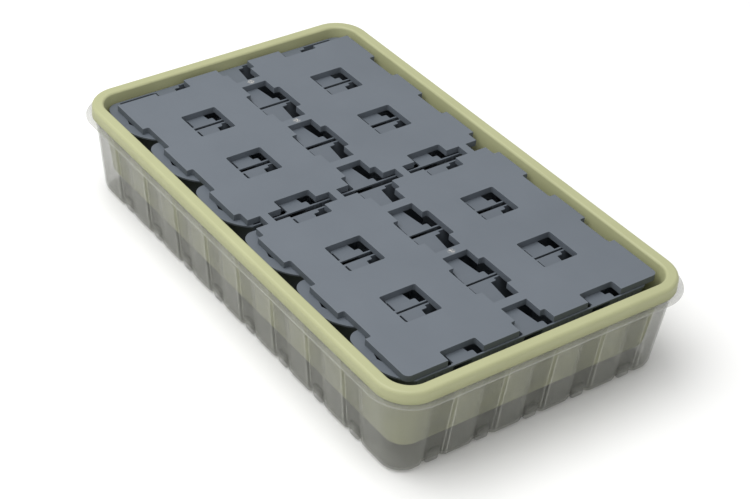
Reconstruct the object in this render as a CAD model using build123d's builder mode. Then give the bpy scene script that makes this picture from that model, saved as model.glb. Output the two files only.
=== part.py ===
"""Nested seed-raising set: clear outer tray, green carrying tray, six hinged cell strips, cover grid.

Frame: origin at the middle of the clear tray's underside, +X along the length, +Z up. Millimetres.
"""
from build123d import *
import os

os.makedirs("parts", exist_ok=True)

# ---------------------------------------------------------------- driving dimensions
# clear outer tray
lip_length = 374.0  # over the flat lip
lip_width = 229.0
lip_thickness = 1.0
lip_corner_radius = 27.0
clear_height = 60.0  # underside of the floor to the top of the lip
clear_wall = 1.0
clear_floor = 1.0
clear_taper = 0.115  # inward lean of the walls, per unit of depth
lip_overhang = 6.0  # lip edge to the wall's outer face
flute_pitch_long = 37.9
flute_count_long = 8
flute_pitch_short = 36.8
flute_count_short = 5
flute_width = 15.0
flute_depth = 2.0
flute_flank = 1.6  # run of each slanted flank
base_round = 4.5  # height and inset of the rounded base edge

# green carrying tray
rim_overlap = 4.0  # lip edge to the rim's outer face
rim_height = 8.5
rim_band = 8.0  # rim's outer face to the tray's inner face
rim_round = 2.4
rim_skirt = 1.3
tray_wall = 1.5
tray_floor = 1.5
tray_depth = 52.5  # rim top to the underside of the floor
tray_taper = 0.127
tray_corner_radius = 15.0  # inner face, at the rim
tray_base_round = 3.0

# cell strips
strip_count = 6
cells_per_strip = 4
strip_width = 54.0
strip_height = 43.5
front_end_drop = 14.0  # fall of a front half's curved end, from the middle line to the long side
front_tip_round = 1.5
back_end_drop = 4.1
back_tip_round = 9.0
front_end_slant = 10.0  # end cell's end face, from the middle line to the side
back_end_slant = 7.5
strip_wall = 1.2
strip_flange = 1.2
strip_lean = 6.8  # inward lean of the long walls from top to bottom
strip_slots = [2.2, 3.2, 4.2, 3.2, 1.6]  # gaps from one strip to the next, back to front
strip_back_gap = 1.1  # tray's inner face at the strips' flange to the first strip
strip_end_gap = 1.65  # each end of a strip to the tray's inner face, at the same level
strip_side_shift = 0.8
end_cell_cut = 5.85  # how much shorter a strip's end cell is than an inner one
web_at_seam = 9.4  # flat land between two cells, at the strip's middle line
web_at_side = 15.7  # and at its long side
end_land = 5.9  # flange left at the strip's end, on the middle line
cell_lean = 3.0  # inward lean of the walls between cells
rib_pitch = 6.0
rib_width = 1.4
rib_height = 0.8
drain_radius = 5.0
land_thickness = 1.2
hinge_bead = 0.7  # height of the back half's bead, which holds both halves off the tray's floor
front_tab_length = 5.8  # tabs and lugs on the far side of each web, beside the slot
front_tab_reach = 3.0
back_lug_length = 3.8
back_lug_reach = 4.0
tab_round = 1.1
socket_start = 1.9  # strip's long side to the near end of a socket
socket_length = 8.0
socket_reach = 1.8
centre_socket_reach = 0.7
socket_depth = 8.0
peg_hole_radius = 0.9
peg_inset_x = 7.0  # strip's front long side to the peg hole's centre
peg_inset_y = 9.7  # strip's far end to the same centre

# cover grid
cover_rise = 4.5  # top of the strips to the top of the cover
cover_plate = 1.2
cover_skirt = 1.2
cover_length_inset = 4.1  # row of strips longer than the cover, in all
cover_width_inset = 10.0  # strip longer than the cover's width, in all
cover_end_cut = 3.25  # how much shorter the cover's end cells are than its inner ones
cover_corner_radius = 4.0
cover_shift_x = 1.1  # from the middle of the row of strips
cover_shift_y = 3.0
hole_length = 27.4
hole_width = 26.4
hole_corner_radius = 1.2
centre_gap = 19.1
centre_notch_width = 27.3
cross_gap = 9.8
bridge_width = 6.8
cross_bridge_width = 5.7
side_notch_depth = 4.4
front_notch_depth = 8.7
front_notch_length = 25.8
back_notch_depth = 9.6
back_corner_depth = 5.9

# ---------------------------------------------------------------- levels and places
rim_bottom_z = clear_height
rim_top_z = rim_bottom_z + rim_height
rim_length = lip_length - 2 * rim_overlap
rim_width = lip_width - 2 * rim_overlap
rim_corner_radius = tray_corner_radius + rim_band
inner_length = rim_length - 2 * rim_band
inner_width = rim_width - 2 * rim_band
tray_bottom_z = rim_top_z - tray_depth
tray_floor_z = tray_bottom_z + tray_floor
strip_top_z = tray_floor_z + strip_height
strip_bottom_z = tray_floor_z + hinge_bead
flange_drop = (rim_top_z - strip_top_z + strip_flange) * tray_taper
row_start_x = -inner_length / 2 + flange_drop + strip_back_gap
row_end_x = row_start_x + strip_count * strip_width + sum(strip_slots)
strip_half = strip_width / 2
strip_length = inner_width - 2 * (flange_drop + strip_end_gap)
cell_pitch = (strip_length - 2 * (end_land - end_cell_cut) + web_at_seam) / cells_per_strip
first_strip_x = row_start_x + strip_half
strip_centres = [
    first_strip_x + i * strip_width + sum(strip_slots[:i]) for i in range(strip_count)
]
cover_length = row_end_x - row_start_x - cover_length_inset
cover_width = strip_length - cover_width_inset
cover_pitch = (cover_length + 2 * cover_end_cut) / strip_count
cover_middle_x = (row_start_x + row_end_x) / 2 + cover_shift_x


def fluted_outline(half_length, half_width, corner_radius, floor_width, depth):
    """Closed rounded rectangle whose four sides carry evenly spaced shallow flutes."""
    sides = [
        (half_length, half_width, flute_count_long, flute_pitch_long, 0),
        (half_width, half_length, flute_count_short, flute_pitch_short, 90),
        (half_length, half_width, flute_count_long, flute_pitch_long, 180),
        (half_width, half_length, flute_count_short, flute_pitch_short, 270),
    ]
    top = floor_width / 2 + flute_flank
    with BuildLine() as outline:
        for along, out, count, pitch, turn in sides:
            points = [(corner_radius - along, -out)]
            for i in range(count):
                middle = (i - (count - 1) / 2) * pitch
                points.append((middle - top, -out))
                points.append((middle - floor_width / 2, depth - out))
                points.append((middle + floor_width / 2, depth - out))
                points.append((middle + top, -out))
            points.append((along - corner_radius, -out))
            placed = [Vector(x, y).rotate(Axis.Z, turn) for x, y in points]
            Polyline(*placed)
            centre = Vector(along - corner_radius, corner_radius - out).rotate(Axis.Z, turn)
            CenterArc(centre, corner_radius, turn - 90, 90)
    return outline.line


def clear_section(z, inset, thickness):
    """Sketch of the clear tray's wall at one level; thickness 0 is its outer face."""
    drop = (clear_height - z) * clear_taper
    half_length = lip_length / 2 - lip_overhang - drop - inset - thickness
    half_width = lip_width / 2 - lip_overhang - drop - inset - thickness
    radius = lip_corner_radius - lip_overhang - drop - inset - thickness
    outline = fluted_outline(half_length, half_width, radius, flute_width + thickness, flute_depth)
    with BuildSketch(Plane.XY.offset(z)) as section:
        with BuildLine():
            add(outline)
        make_face()
    return section.sketch


def clear_solid(bottom, top, thickness):
    """Tapered fluted block with a rounded base edge, from one level to another."""
    steps = [(0.0, base_round), (0.12 * base_round, 0.5 * base_round)]
    steps += [(0.4 * base_round, 0.2 * base_round), (base_round, 0.0)]
    sections = [clear_section(bottom + height, inset, thickness) for height, inset in steps]
    sections.append(clear_section(top, 0.0, thickness))
    with BuildPart() as block:
        loft(sections=[section.face() for section in sections], ruled=True)
    return block.part


# ---------------------------------------------------------------- clear outer tray
clear_outside = clear_solid(0.0, clear_height, 0.0)
clear_inside = clear_solid(clear_floor, clear_height + clear_floor, clear_wall)

with BuildPart() as clear_outer_tray:
    add(clear_outside)
    with BuildSketch(Plane.XY.offset(clear_height - lip_thickness)):
        RectangleRounded(lip_length, lip_width, lip_corner_radius)
    extrude(amount=lip_thickness)
    add(clear_inside, mode=Mode.SUBTRACT)


# ---------------------------------------------------------------- green carrying tray

def tray_block(bottom, top, offset_out):
    """Tapered rounded block: the tray's inner face moved outwards by offset_out."""
    with BuildPart() as block:
        for z in (bottom, top):
            drop = (rim_top_z - z) * tray_taper - offset_out
            radius = tray_corner_radius - 0.5 * (rim_top_z - z) * tray_taper + offset_out
            with BuildSketch(Plane.XY.offset(z)):
                RectangleRounded(inner_length - 2 * drop, inner_width - 2 * drop, radius)
        loft(ruled=True)
        fillet(block.faces().sort_by(Axis.Z)[0].edges(), tray_base_round - tray_wall + offset_out)
    return block.part


tray_outside = tray_block(tray_bottom_z, rim_top_z - tray_wall / 2, tray_wall)
tray_inside = tray_block(tray_floor_z, rim_top_z + tray_wall, 0.0)

with BuildPart() as green_inner_tray:
    with BuildSketch(Plane.XY.offset(rim_bottom_z)):
        RectangleRounded(rim_length, rim_width, rim_corner_radius)
    extrude(amount=rim_height)
    fillet(green_inner_tray.faces().sort_by(Axis.Z)[-1].edges(), rim_round)
    with BuildSketch(Plane.XY.offset(rim_bottom_z)):
        RectangleRounded(
            rim_length - 2 * rim_skirt,
            rim_width - 2 * rim_skirt,
            rim_corner_radius - rim_skirt,
        )
    extrude(amount=rim_height - tray_wall, mode=Mode.SUBTRACT)
    add(tray_outside)
    add(tray_inside, mode=Mode.SUBTRACT)
    rim_inner_edges = (
        green_inner_tray.edges()
        .filter_by(lambda e: abs(e.center().Z - rim_top_z) < 0.01)
        .filter_by(lambda e: e.bounding_box().size.Z < 0.01)
        .sort_by(SortBy.DISTANCE)[:8]
    )
    fillet(rim_inner_edges, 0.8 * rim_round)

# ---------------------------------------------------------------- cell strips


def cell_limits(index, end_slant):
    """Low and high ends of one cell's opening on the strip's middle line and at its side."""
    node_low = (index - cells_per_strip / 2) * cell_pitch
    node_high = node_low + cell_pitch
    end = strip_length / 2 - end_land
    slant = (web_at_side - web_at_seam) / 2
    seam_low = max(node_low + web_at_seam / 2, -end)
    seam_high = min(node_high - web_at_seam / 2, end)
    low_slant = end_slant if index == 0 else slant
    high_slant = end_slant if index == cells_per_strip - 1 else slant
    return seam_low, seam_high, seam_low + low_slant, seam_high - high_slant


def cell_block(index, end_slant, offset_out, bottom, top):
    """Tapered half cell, open on the middle line, its faces moved outwards by offset_out."""
    seam_low, seam_high, side_low, side_high = cell_limits(index, end_slant)
    with BuildPart() as block:
        for z in (bottom, top):
            depth = (strip_top_z - z) / strip_height
            shrink = cell_lean * depth - offset_out
            reach = strip_half - strip_wall - strip_lean * depth + offset_out
            with BuildSketch(Plane.XY.offset(z)):
                with BuildLine():
                    Polyline(
                        (-offset_out, seam_low + shrink),
                        (reach, side_low + shrink),
                        (reach, side_high - shrink),
                        (-offset_out, seam_high - shrink),
                        close=True,
                    )
                make_face()
        loft(ruled=True)
    return block.part


def flange_outline(end_drop, tip_round):
    """Plan of a half strip's flange: straight sides, and ends on an arc about the middle line."""
    end = strip_length / 2
    tip = end - end_drop
    end_arc = (strip_half**2 + end_drop**2) / (2 * end_drop)
    middle = end - end_arc + (end_arc**2 - (strip_half / 2) ** 2) ** 0.5
    with BuildSketch(Plane.XY.offset(strip_top_z - strip_flange)) as flange:
        with BuildLine():
            Line((0, -end), (0, end))
            ThreePointArc((0, end), (strip_half / 2, middle), (strip_half, tip))
            Line((strip_half, tip), (strip_half, -tip))
            ThreePointArc((strip_half, -tip), (strip_half / 2, -middle), (0, -end))
        make_face()
        fillet(flange.vertices().group_by(Axis.X)[-1], tip_round)
    return flange.sketch


def strip_half_part(end_drop, tip_round, end_slant, tab_length, tab_reach):
    """Half of one strip on the +X side of its seam face at x = 0."""
    cells = range(cells_per_strip)
    limits = [cell_limits(i, end_slant) for i in cells]
    shells = [cell_block(i, end_slant, strip_wall, strip_bottom_z, strip_top_z) for i in cells]
    pocket_bottom = strip_bottom_z + strip_wall
    pockets = [cell_block(i, end_slant, 0.0, pocket_bottom, strip_top_z + 1) for i in cells]
    flange = flange_outline(end_drop, tip_round)
    with BuildPart() as half:
        extrude(flange, amount=strip_flange)
        with BuildSketch(Plane.XY.offset(strip_bottom_z)):
            with Locations((land_thickness / 2, 0)):
                Rectangle(land_thickness, strip_length - 2 * end_land)
        extrude(amount=strip_top_z - strip_bottom_z)
        for i in cells:
            add(shells[i])
            low, high = limits[i][2:]
            ribs = round((high - low - 2 * cell_lean) / rib_pitch)
            for k in range(ribs):
                place = (low + high) / 2 + (k - (ribs - 1) / 2) * rib_pitch
                with BuildSketch(Plane.XZ.offset(-place - rib_width / 2)):
                    with BuildLine():
                        Polyline(
                            (strip_half - strip_lean - strip_wall, strip_bottom_z),
                            (strip_half - strip_lean + rib_height, strip_bottom_z),
                            (strip_half, strip_top_z - rib_height * strip_height / strip_lean),
                            (strip_half, strip_top_z - strip_flange),
                            (strip_half - strip_wall, strip_top_z - strip_flange),
                            close=True,
                        )
                    make_face()
                extrude(amount=rib_width)
        with BuildSketch(Plane.XY.offset(strip_bottom_z)):
            with Locations((-strip_width, 0)):
                Rectangle(2 * strip_width, 2 * strip_length)
        extrude(amount=strip_height, mode=Mode.SUBTRACT)
        for i in cells:
            add(pockets[i], mode=Mode.SUBTRACT)
        with BuildSketch(Plane.XY.offset(strip_bottom_z)):
            with Locations(*[(0, sum(limits[i][:2]) / 2) for i in cells]):
                Circle(drain_radius)
        extrude(amount=2 * strip_wall, mode=Mode.SUBTRACT)
        # a socket on one side of each web, and a tab on the other
        for i in range(1, cells_per_strip):
            reach = centre_socket_reach if 2 * i == cells_per_strip else socket_reach
            socket_x = strip_half - socket_start - socket_length / 2
            with BuildSketch(Plane.XY.offset(strip_top_z)):
                with Locations((socket_x, limits[i - 1][3])):
                    Rectangle(socket_length, 2 * reach)
            extrude(amount=-socket_depth, mode=Mode.SUBTRACT)
            with BuildSketch(Plane.XY.offset(strip_top_z)):
                with Locations((strip_half - tab_length / 2, limits[i][2])):
                    RectangleRounded(tab_length, 2 * tab_reach, tab_round)
            extrude(amount=-strip_flange)
    return half.part


plain_front = strip_half_part(
    front_end_drop, front_tip_round, front_end_slant, front_tab_length, front_tab_reach
)
plain_back = strip_half_part(
    back_end_drop, back_tip_round, back_end_slant, back_lug_length, back_lug_reach
)
mirrored_back = mirror(plain_back, about=Plane.YZ, mode=Mode.PRIVATE)

# the front half has a peg hole in its corner at the far end
with BuildPart() as pegged_half:
    add(plain_front)
    with BuildSketch(Plane.XY.offset(strip_top_z)):
        with Locations((strip_half - peg_inset_x, strip_length / 2 - peg_inset_y)):
            Circle(peg_hole_radius)
    extrude(amount=-strip_flange, mode=Mode.SUBTRACT)
front_half = pegged_half.part

# the back half stands on the hinge bead, which is cut away round the drain holes
with BuildPart() as beaded_half:
    add(mirrored_back)
    with BuildSketch(Plane.XY.offset(tray_floor_z)):
        with Locations((-land_thickness / 2, 0)):
            Rectangle(land_thickness, strip_length - 2 * end_land - 2 * cell_lean)
        drain_ys = [sum(cell_limits(i, back_end_slant)[:2]) / 2 for i in range(cells_per_strip)]
        with Locations(*[(0, y) for y in drain_ys]):
            Circle(drain_radius, mode=Mode.SUBTRACT)
    extrude(amount=hinge_bead)
back_half = beaded_half.part

# ---------------------------------------------------------------- cover grid


def cover_plan(z, inset):
    """Plan of the cover: four plates of three by two cells joined by bridges, edges moved in."""
    plate_length = (cover_length - cross_gap) / 2
    plate_width = (cover_width - centre_gap) / 2
    plate_x = (cover_length + cross_gap) / 4
    plate_y = (cover_width + centre_gap) / 4
    cell_middles = [(i - 2.5) * cover_pitch for i in range(strip_count)]
    rows = [(i - 2) * cover_pitch for i in range(strip_count - 1)]
    back = -cover_length / 2
    front = cover_length / 2
    grow = 2 * inset
    corner = hole_corner_radius + inset
    end_notch = front_notch_length + grow
    with BuildSketch(Plane.XY.offset(z)) as plan:
        for sx in (-1, 1):
            for sy in (-1, 1):
                with Locations((sx * plate_x, sy * plate_y)):
                    RectangleRounded(plate_length - grow, plate_width - grow, cover_corner_radius - inset)
        # holes over the inner nodes, and notches over the nodes on the middle line and the sides
        with Locations(*[(x, sy * cell_pitch) for x in rows for sy in (-1, 1)]):
            RectangleRounded(hole_length + grow, hole_width + grow, corner, mode=Mode.SUBTRACT)
        with Locations(*[(x, 0) for x in rows]):
            RectangleRounded(hole_length + grow, centre_notch_width + grow, corner, mode=Mode.SUBTRACT)
        with Locations(*[(x, sy * cover_width / 2) for x in rows for sy in (-1, 1)]):
            RectangleRounded(hole_length + grow, 2 * side_notch_depth + grow, corner, mode=Mode.SUBTRACT)
        node_ys = [-cell_pitch, 0, cell_pitch]
        with Locations(*[(front, y) for y in node_ys]):
            RectangleRounded(2 * front_notch_depth + grow, end_notch, corner, mode=Mode.SUBTRACT)
        with Locations(*[(back, y) for y in node_ys]):
            RectangleRounded(2 * back_notch_depth + grow, end_notch, corner, mode=Mode.SUBTRACT)
        shoulder = cover_width / 2 - cell_pitch
        with Locations(*[(back, sy * (cell_pitch + shoulder / 2)) for sy in (-1, 1)]):
            Rectangle(2 * back_corner_depth + grow, shoulder + grow, mode=Mode.SUBTRACT)
        # bridges
        with Locations(*[(x, 0) for x in cell_middles]):
            Rectangle(bridge_width - grow, centre_gap + 2 * cover_corner_radius)
        bridge_ys = [(i - 1.5) * cell_pitch for i in range(cells_per_strip)]
        with Locations(*[(0, y) for y in bridge_ys]):
            Rectangle(cross_gap + 2 * cover_corner_radius, cross_bridge_width - grow)
    return plan.sketch


cover_outside = cover_plan(strip_top_z, 0.0)
cover_inside = cover_plan(strip_top_z, cover_skirt)

with BuildPart() as cover_grid:
    extrude(cover_outside, amount=cover_rise)
    extrude(cover_inside, amount=cover_rise - cover_plate, mode=Mode.SUBTRACT)

# ---------------------------------------------------------------- export
pieces = {
    "clear_outer_tray": clear_outer_tray.part,
    "green_inner_tray": green_inner_tray.part,
    "cover_grid": cover_grid.part.moved(Location((cover_middle_x, cover_shift_y, 0))),
}
for number, x in enumerate(strip_centres, start=1):
    place = Location((x, strip_side_shift, 0))
    pieces[f"strip_{number}_back_half"] = back_half.moved(place)
    pieces[f"strip_{number}_front_half"] = front_half.moved(place)

for name, piece in pieces.items():
    piece.label = name
    export_step(piece, f"parts/{name}.step")
    print(name, round(piece.volume), piece.is_valid)
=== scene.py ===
import math

import bpy
from mathutils import Matrix, Vector


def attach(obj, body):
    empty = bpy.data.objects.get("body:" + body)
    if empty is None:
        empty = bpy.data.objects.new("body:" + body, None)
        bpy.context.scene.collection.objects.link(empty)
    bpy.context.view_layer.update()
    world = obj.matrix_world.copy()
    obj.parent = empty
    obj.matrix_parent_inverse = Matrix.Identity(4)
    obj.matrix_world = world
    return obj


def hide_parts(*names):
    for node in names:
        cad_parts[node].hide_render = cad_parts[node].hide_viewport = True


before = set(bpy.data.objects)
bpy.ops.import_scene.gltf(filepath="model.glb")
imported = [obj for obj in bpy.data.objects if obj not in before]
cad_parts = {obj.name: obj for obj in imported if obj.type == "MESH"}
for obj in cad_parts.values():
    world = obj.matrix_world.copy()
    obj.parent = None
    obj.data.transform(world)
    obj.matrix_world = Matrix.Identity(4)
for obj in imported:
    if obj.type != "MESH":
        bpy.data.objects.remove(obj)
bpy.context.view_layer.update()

# ------------------------------------------------------------------ camera
# A long lens, seen from the front right corner and well above. The small shift places
# the set a little left of the middle of the frame.
camera_data = bpy.data.cameras.new("camera")
camera = bpy.data.objects.new("camera", camera_data)
bpy.context.scene.collection.objects.link(camera)
EYE = (0.7859, -0.6166, 0.7516)
TILT_ROLL_TURN = (54.511, -1.873, 57.08)  # degrees
camera.location = EYE
camera.rotation_euler = [math.radians(angle) for angle in TILT_ROLL_TURN]
camera_data.sensor_width = 36.0
camera_data.lens = 90.72  # mm
camera_data.shift_x = 0.15
camera_data.shift_y = -0.05
camera_data.clip_start = 0.01
bpy.context.scene.camera = camera

# ------------------------------------------------------------------ white sweep
# A pale painted board that the set stands on, and the light tent round it: one large
# overhead diffuser, a weaker one at the front and an even white surround.


def colour(code):
    """sRGB hex to the linear colour that the shaders take."""
    channels = [int(code[i:i + 2], 16) / 255 for i in (0, 2, 4)]
    linear = [c / 12.92 if c <= 0.04045 else ((c + 0.055) / 1.055) ** 2.4 for c in channels]
    return (*linear, 1.0)


def add_node(tree, kind, settings=None, links=None):
    """Adds a node; settings are attributes or socket values, links are input sockets to feed."""
    node = tree.nodes.new(kind)
    for name, value in (settings or {}).items():
        if isinstance(name, str) and name in node.bl_rna.properties:
            setattr(node, name, value)
        else:
            node.inputs[name].default_value = value
    for name, source in (links or {}).items():
        tree.links.new(source, node.inputs[name])
    return node


def new_material(name):
    """An empty node material and its shader."""
    material = bpy.data.materials.new(name)
    material.use_nodes = True
    tree = material.node_tree
    return material, tree, tree.nodes["Principled BSDF"]


BOARD_SIZE, BOARD_DROP = 8.0, 0.0002  # the drop keeps the board clear of the tray's underside
bpy.ops.object.select_all(action="DESELECT")
bpy.ops.mesh.primitive_plane_add(size=BOARD_SIZE, location=(0, 0, -BOARD_DROP))
floor = bpy.context.object
floor.name = "sweep_board"

# Rolled paint: the faint grain keeps the white from reading as an empty background.
painted_board, tree, shader = new_material("matt white painted board")
shader.inputs["Roughness"].default_value = 0.9
grain = add_node(tree, "ShaderNodeTexNoise", {"Scale": 60.0, "Detail": 3.0})
tone = add_node(tree, "ShaderNodeValToRGB", links={"Fac": grain.outputs["Fac"]})
tone.color_ramp.elements[0].color = colour("F4F4F3")
tone.color_ramp.elements[1].color = colour("FAFAF9")
tree.links.new(tone.outputs["Color"], shader.inputs["Base Color"])
floor.data.materials.append(painted_board)

world = bpy.data.worlds.new("light tent")
bpy.context.scene.world = world
world.use_nodes = True
world.node_tree.nodes["Background"].inputs["Color"].default_value = colour("FFFFFF")
world.node_tree.nodes["Background"].inputs["Strength"].default_value = 0.58
bpy.context.scene.view_settings.view_transform = "Standard"


def softbox(name, place, aim, size, power):
    """One square area lamp pointed at a place on the set."""
    data = bpy.data.lights.new(name, "AREA")
    data.shape = "SQUARE"
    data.size = size
    data.energy = power
    lamp = bpy.data.objects.new(name, data)
    bpy.context.scene.collection.objects.link(lamp)
    lamp.location = place
    lamp.rotation_euler = (Vector(aim) - Vector(place)).to_track_quat("-Z", "Y").to_euler()


SET_MIDDLE = (0, 0, 0.03)
softbox("overhead diffuser", (-0.2, -0.4, 1.25), SET_MIDDLE, size=1.3, power=18.0)
softbox("front diffuser", (1.2, -1.1, 0.7), SET_MIDDLE, size=0.9, power=1.2)

# ------------------------------------------------------------------ clear outer tray
# Thin clear polystyrene, vacuum formed over a fluted mould. The flutes stiffen the walls, and
# the flat lip all round carries the rim of the green tray.


MERGE_DISTANCE = 0.00002
FLAT_ANGLE = 0.4  # degrees between faces that count as one plane


def merged_copy(node_name, piece_name):
    """The node's shape as a new piece of its own, its loose triangles joined up."""
    bpy.ops.object.select_all(action="DESELECT")
    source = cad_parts[node_name]
    piece = bpy.data.objects.new(piece_name, source.data.copy())
    piece.data.name = piece_name
    piece.data.materials.clear()
    bpy.context.scene.collection.objects.link(piece)
    bpy.context.view_layer.objects.active = piece
    piece.select_set(True)
    bpy.ops.object.mode_set(mode="EDIT")
    bpy.ops.mesh.select_all(action="SELECT")
    bpy.ops.mesh.remove_doubles(threshold=MERGE_DISTANCE)
    bpy.ops.mesh.customdata_custom_splitnormals_clear()
    bpy.ops.mesh.dissolve_limited(angle_limit=math.radians(FLAT_ANGLE))
    bpy.ops.object.mode_set(mode="OBJECT")
    return piece


def apply_modifier(piece, kind, **settings):
    """Adds one modifier with its settings and applies it."""
    bpy.ops.object.select_all(action="DESELECT")
    bpy.context.view_layer.objects.active = piece
    piece.select_set(True)
    modifier = piece.modifiers.new(kind.lower(), kind)
    for name, value in settings.items():
        setattr(modifier, name, value)
    bpy.ops.object.modifier_apply(modifier=modifier.name)


def soften(piece, width, segments, sharp_angle, slot_of_round=-1):
    """Rounds the piece's edges, smooths its curved faces and keeps its flat faces flat."""
    limit = math.radians(sharp_angle)
    apply_modifier(piece, "BEVEL", width=width, segments=segments, limit_method="ANGLE",
                   angle_limit=limit, material=slot_of_round)
    bpy.ops.object.shade_smooth_by_angle(angle=limit)
    apply_modifier(piece, "WEIGHTED_NORMAL", keep_sharp=True)


def clear_film(name, tint, thin, thick):
    """Clear plastic as a film: thin is its cover where it faces the eye, thick where it turns away."""
    material, tree, shader = new_material(name)
    place = add_node(tree, "ShaderNodeTexCoord")
    haze = add_node(tree, "ShaderNodeTexNoise", {"Scale": 45.0, "Detail": 4.0},
                    {"Vector": place.outputs["Object"]})
    facing = add_node(tree, "ShaderNodeLayerWeight", {"Blend": 0.35})
    film = add_node(tree, "ShaderNodeMapRange", {"To Min": thin, "To Max": thick},
                    {"Value": facing.outputs["Facing"]})
    cloud = add_node(tree, "ShaderNodeMapRange",
                     {"From Min": 0.3, "From Max": 0.7, "To Min": 0.88, "To Max": 1.15},
                     {"Value": haze.outputs["Fac"]})
    film_cover = add_node(tree, "ShaderNodeMath", {"operation": "MULTIPLY", "use_clamp": True},
                          {0: film.outputs["Result"], 1: cloud.outputs["Result"]})
    tree.links.new(film_cover.outputs["Value"], shader.inputs["Alpha"])
    shader.inputs["Base Color"].default_value = colour(tint)
    shader.inputs["Roughness"].default_value = 0.14
    shader.inputs["IOR"].default_value = 1.59
    return material


clear_tray = merged_copy("clear_outer_tray", "clear_tray_shell")

# Thin see-through skin, greyer where it turns from the eye: it shows the green tray behind it.
# The folds are painted whiter, a painted highlight along the creases, and the flute floors are painted
# darker and deeper, painted shade in the recesses.
panel_film = clear_film("vacuum formed clear polystyrene", "8B8C85", 0.16, 0.6)
# painted highlight: a paler, denser film on the rounded folds, in place of light caught along the
# creases
fold_highlight_film = clear_film("clear polystyrene, painted highlight at a fold", "C4C5BD", 0.28, 0.6)
# painted shade: a darker, denser film on the flute floors, in place of the shade inside the recesses
shaded_recess_film = clear_film("clear polystyrene, flute floor in painted shade", "6F7069", 0.2, 0.65)
for film in (panel_film, fold_highlight_film, shaded_recess_film):
    clear_tray.data.materials.append(film)

# the floor of each flute is 2 mm in from the panels beside it
MM = 0.001
HALF_LENGTH, HALF_WIDTH, LIP_TOP = 181.0 * MM, 108.5 * MM, 60.0 * MM
WALL_LEAN = 0.115
FLUTE_DEPTH = 2.0 * MM
UPRIGHT_Z, SQUARE_ON = 0.3, 0.97  # parts of a unit normal
# upright faces on the flute floors take the painted-shade film
for face in clear_tray.data.polygons:
    x, y, z = face.center
    depth = WALL_LEAN * (LIP_TOP - z)
    inset = min(HALF_LENGTH - depth - abs(x), HALF_WIDTH - depth - abs(y))
    upright = abs(face.normal.z) < UPRIGHT_Z
    if upright and 0.6 * FLUTE_DEPTH < inset < 2 * FLUTE_DEPTH:
        if max(abs(face.normal.x), abs(face.normal.y)) > SQUARE_ON:
            face.material_index = clear_tray.data.materials.find(shaded_recess_film.name)
# the rounds of the folds take the painted-highlight film
soften(clear_tray, width=0.3 * MM, segments=1, sharp_angle=36,
       slot_of_round=clear_tray.data.materials.find(fold_highlight_film.name))
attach(clear_tray, "outer_tray")
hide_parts("clear_outer_tray")

# ------------------------------------------------------------------ lugs of the clear tray
# At the foot of each flute the mould leaves a small rounded lug, nearly as proud as the panels,
# that keeps the flute from folding. They are one skin with the wall.
LUG_WIDTH, LUG_HEIGHT, LUG_DEPTH = 9.2 * MM, 10.5 * MM, 3.4 * MM
LUG_ROUND = 1.6 * MM
LUG_LOWEST = 0.6 * MM
LUG_RECESS = 0.6 * MM  # panel's outer face to the lug's outer face
END_LUGS, SIDE_LUGS = 5, 8
END_PITCH, SIDE_PITCH = 36.8 * MM, 37.9 * MM


def lug(out, along, turn):
    """One lug at a distance out from the middle, on the side that faces the turn angle."""
    bpy.ops.object.select_all(action="DESELECT")
    bpy.ops.mesh.primitive_cube_add(size=1.0, location=(0, 0, 0))
    piece = bpy.context.object
    piece.data.transform(Matrix.Diagonal((LUG_DEPTH, LUG_WIDTH, LUG_HEIGHT, 1)))
    apply_modifier(piece, "BEVEL", width=LUG_ROUND, segments=4)
    bpy.ops.object.shade_smooth()
    lean = Matrix.Rotation(math.atan(WALL_LEAN), 4, "Y")
    place = Matrix.Translation((out, along, LUG_LOWEST + LUG_HEIGHT / 2))
    piece.data.transform(Matrix.Rotation(math.radians(turn), 4, "Z") @ place @ lean)
    return piece


lug_drop = WALL_LEAN * (LIP_TOP - LUG_HEIGHT / 2) + LUG_DEPTH / 2 + LUG_RECESS
lugs = []
for turn in (0, 180):
    lugs += [lug(HALF_LENGTH - lug_drop, (i - (END_LUGS - 1) / 2) * END_PITCH, turn)
             for i in range(END_LUGS)]
for turn in (90, 270):
    lugs += [lug(HALF_WIDTH - lug_drop, (i - (SIDE_LUGS - 1) / 2) * SIDE_PITCH, turn)
             for i in range(SIDE_LUGS)]
bpy.ops.object.select_all(action="DESELECT")
for piece in lugs:
    piece.select_set(True)
bpy.context.view_layer.objects.active = lugs[0]
bpy.ops.object.join()
lugs[0].name = "clear_tray_lugs"
lugs[0].data.materials.append(panel_film)
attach(lugs[0], "outer_tray")

# ------------------------------------------------------------------ green carrying tray
# Injection moulded polypropylene with a rolled rim. It drops into the clear tray, and its rim
# lies on the clear lip.
green_tray = merged_copy("green_inner_tray", "green_tray_shell")
soften(green_tray, width=0.3 * MM, segments=2, sharp_angle=30)

# Slow olive mottle and a grain too fine to see, which spreads the highlight along the rolled rim.
green_plastic, tree, shader = new_material("moulded green polypropylene")
place = add_node(tree, "ShaderNodeTexCoord")
mottle = add_node(tree, "ShaderNodeTexNoise", {"Scale": 22.0, "Detail": 5.0},
                  {"Vector": place.outputs["Object"]})
tone = add_node(tree, "ShaderNodeValToRGB", links={"Fac": mottle.outputs["Fac"]})
tone.color_ramp.elements[0].position = 0.3
tone.color_ramp.elements[0].color = colour("A4A67E")
tone.color_ramp.elements[1].position = 0.7
tone.color_ramp.elements[1].color = colour("AAAC84")
tree.links.new(tone.outputs["Color"], shader.inputs["Base Color"])
grain = add_node(tree, "ShaderNodeTexNoise", {"Scale": 1400.0, "Detail": 2.0},
                 {"Vector": place.outputs["Object"]})
bump = add_node(tree, "ShaderNodeBump", {"Strength": 0.05, "Distance": 0.0002},
                {"Height": grain.outputs["Fac"]})
tree.links.new(bump.outputs["Normal"], shader.inputs["Normal"])
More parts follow.
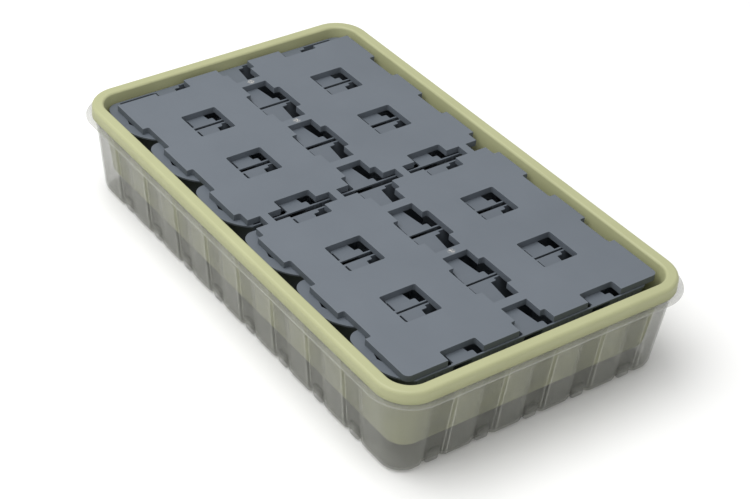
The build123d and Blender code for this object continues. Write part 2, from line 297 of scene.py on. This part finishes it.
shader.inputs["Roughness"].default_value = 0.5
shader.inputs["IOR"].default_value = 1.49
green_tray.data.materials.append(green_plastic)
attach(green_tray, "inner_tray")
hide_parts("green_inner_tray")

# ------------------------------------------------------------------ grey plastic
# The strips and the cover are moulded in one recycled grey polypropylene: satin, with a very
# fine spark-eroded grain and faint flow marks.


def grey_material(name, dark, light):
    """Satin moulded grey with a fine grain and slow flow marks."""
    material, tree, shader = new_material(name)
    place = add_node(tree, "ShaderNodeTexCoord")
    flow = add_node(tree, "ShaderNodeTexNoise", {"Scale": 16.0, "Detail": 6.0, "Roughness": 0.6},
                    {"Vector": place.outputs["Object"]})
    tone = add_node(tree, "ShaderNodeValToRGB", links={"Fac": flow.outputs["Fac"]})
    tone.color_ramp.elements[0].position = 0.3
    tone.color_ramp.elements[0].color = colour(dark)
    tone.color_ramp.elements[1].position = 0.7
    tone.color_ramp.elements[1].color = colour(light)
    tree.links.new(tone.outputs["Color"], shader.inputs["Base Color"])
    grain = add_node(tree, "ShaderNodeTexNoise", {"Scale": 1600.0, "Detail": 2.0},
                     {"Vector": place.outputs["Object"]})
    bump = add_node(tree, "ShaderNodeBump", {"Strength": 0.08, "Distance": 0.0002},
                    {"Height": grain.outputs["Fac"]})
    tree.links.new(bump.outputs["Normal"], shader.inputs["Normal"])
    shader.inputs["Roughness"].default_value = 0.5
    shader.inputs["IOR"].default_value = 1.49
    return material


WHITENED = "B9B6B1"


def stress_marks(material, spots, radius):
    """Pale, ragged stress-whitened spots where the sprue was torn off, over the moulded grey."""
    tree = material.node_tree
    shader = tree.nodes["Principled BSDF"]
    place = add_node(tree, "ShaderNodeTexCoord")
    ragged = add_node(tree, "ShaderNodeTexNoise", {"Scale": 900.0, "Detail": 3.0},
                      {"Vector": place.outputs["Object"]})
    patchy = add_node(tree, "ShaderNodeMapRange", {"From Min": 0.42, "From Max": 0.62},
                      {"Value": ragged.outputs["Fac"]})
    base = shader.inputs["Base Color"].links[0].from_socket
    for spot in spots:
        away = add_node(tree, "ShaderNodeVectorMath", {"operation": "DISTANCE", 1: spot},
                        {0: place.outputs["Object"]})
        near = add_node(tree, "ShaderNodeMapRange",
                        {"From Min": 0.4 * radius, "From Max": radius, "To Min": 1.0, "To Max": 0.0},
                        {"Value": away.outputs["Value"]})
        strength = add_node(tree, "ShaderNodeMath", {"operation": "MULTIPLY"},
                            {0: near.outputs["Result"], 1: patchy.outputs["Result"]})
        mix = add_node(tree, "ShaderNodeMix", {"data_type": "RGBA"})
        colour_a, colour_b = [i for i in mix.inputs if i.type == "RGBA"][:2]
        colour_b.default_value = colour(WHITENED)
        tree.links.new(strength.outputs["Value"], mix.inputs["Factor"])
        tree.links.new(base, colour_a)
        base = [o for o in mix.outputs if o.type == "RGBA"][0]
    tree.links.new(base, shader.inputs["Base Color"])


cover = merged_copy("cover_grid", "cover_grid_plate")
soften(cover, width=0.35 * MM, segments=2, sharp_angle=24)

# Lighter of the two greys, painted light: the grey is painted lighter where the flat top takes the
# overhead light, and three bridges are whitened.
# painted light: same plastic as the strips, a lighter grey for the lit top
cover_plastic_painted_lit = grey_material("satin grey polypropylene, cover, painted light", "5C636B", "616870")
COVER_MIDDLE_X, COVER_MIDDLE_Y, COVER_TOP = -2.5 * MM, 3.0 * MM, 65.5 * MM
COVER_PITCH = 56.8 * MM
WHITENED_BRIDGES = (0, 1, 4)
MARK_RADIUS = 3.0 * MM
bridges = [(COVER_MIDDLE_X + (i - 2.5) * COVER_PITCH, COVER_MIDDLE_Y, COVER_TOP)
           for i in WHITENED_BRIDGES]
stress_marks(cover_plastic_painted_lit, bridges, MARK_RADIUS)
cover.data.materials.append(cover_plastic_painted_lit)
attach(cover, "cover")
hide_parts("cover_grid")

# Darker grey of the strips, painted shade: it sinks behind the cover, so the pits between them read as
# deep.
# painted shade: same plastic as the cover, a darker grey for the strips' shaded places below it
strip_plastic_painted_shade = grey_material("satin grey polypropylene, strips, painted shade", "565D65", "5C636B")
for number in range(1, 7):
    for side in ("back", "front"):
        shell = merged_copy(f"strip_{number}_{side}_half", f"strip_{number}_{side}_shell")
        soften(shell, width=0.25 * MM, segments=1, sharp_angle=24)
        shell.data.materials.append(strip_plastic_painted_shade)
        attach(shell, f"strip_{number}_{side}")
        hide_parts(f"strip_{number}_{side}_half")
